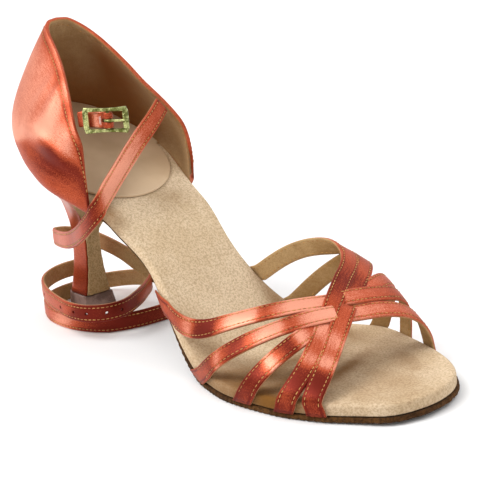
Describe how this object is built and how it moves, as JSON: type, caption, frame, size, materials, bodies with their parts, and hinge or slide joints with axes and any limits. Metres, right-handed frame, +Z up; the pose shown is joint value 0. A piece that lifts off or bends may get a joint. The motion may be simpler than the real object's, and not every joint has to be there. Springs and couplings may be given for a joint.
{
  "type": "ballroom dance shoe",
  "caption": "Women's ballroom dance sandal for the right foot in copper satin, with a closed heel quarter, woven vamp straps, a loose buckled ankle strap and a slim flared heel.",
  "frame": {"origin": "middle of the heel tip's flat bottom, on the floor that the shoe stands on", "axes": "+X from the heel to the toe, +Y to the medial (big toe) side, +Z up"},
  "size_m": [0.2083, 0.0782, 0.1191],
  "materials": {
    "satin": "satin weave with a soft sheen",
    "insole_suede": "napped suede",
    "sock_leather": "smooth, low sheen",
    "sole_suede": "rough chrome suede",
    "tip_plastic": "slightly glossy",
    "pale_gold": "polished, pale"
  },
  "bodies": {
    "shoe": {"outsole": "sole_suede", "insole": "insole_suede", "heel_sock": "sock_leather", "heel": "satin", "heel_tip": "tip_plastic", "quarter": "satin", "vamp_straps": "satin", "ankle_strap": "satin", "buckle_tab": "satin"},
    "buckle": {"buckle_frame": "pale_gold"},
    "prong": {"buckle_prong": "pale_gold"}
  },
  "joints": [
    {"name": "frame_swing", "type": "hinge", "parent": "shoe", "child": "buckle", "pos_m": [0.0528, -0.0157, 0.0858], "axis": [0, 0, 1], "range_deg": [0, 110]},
    {"name": "prong_swing", "type": "hinge", "parent": "buckle", "child": "prong", "pos_m": [0.0528, -0.0157, 0.0858], "axis": [0, 0, -1], "range_deg": [0, 110]}
  ]
}
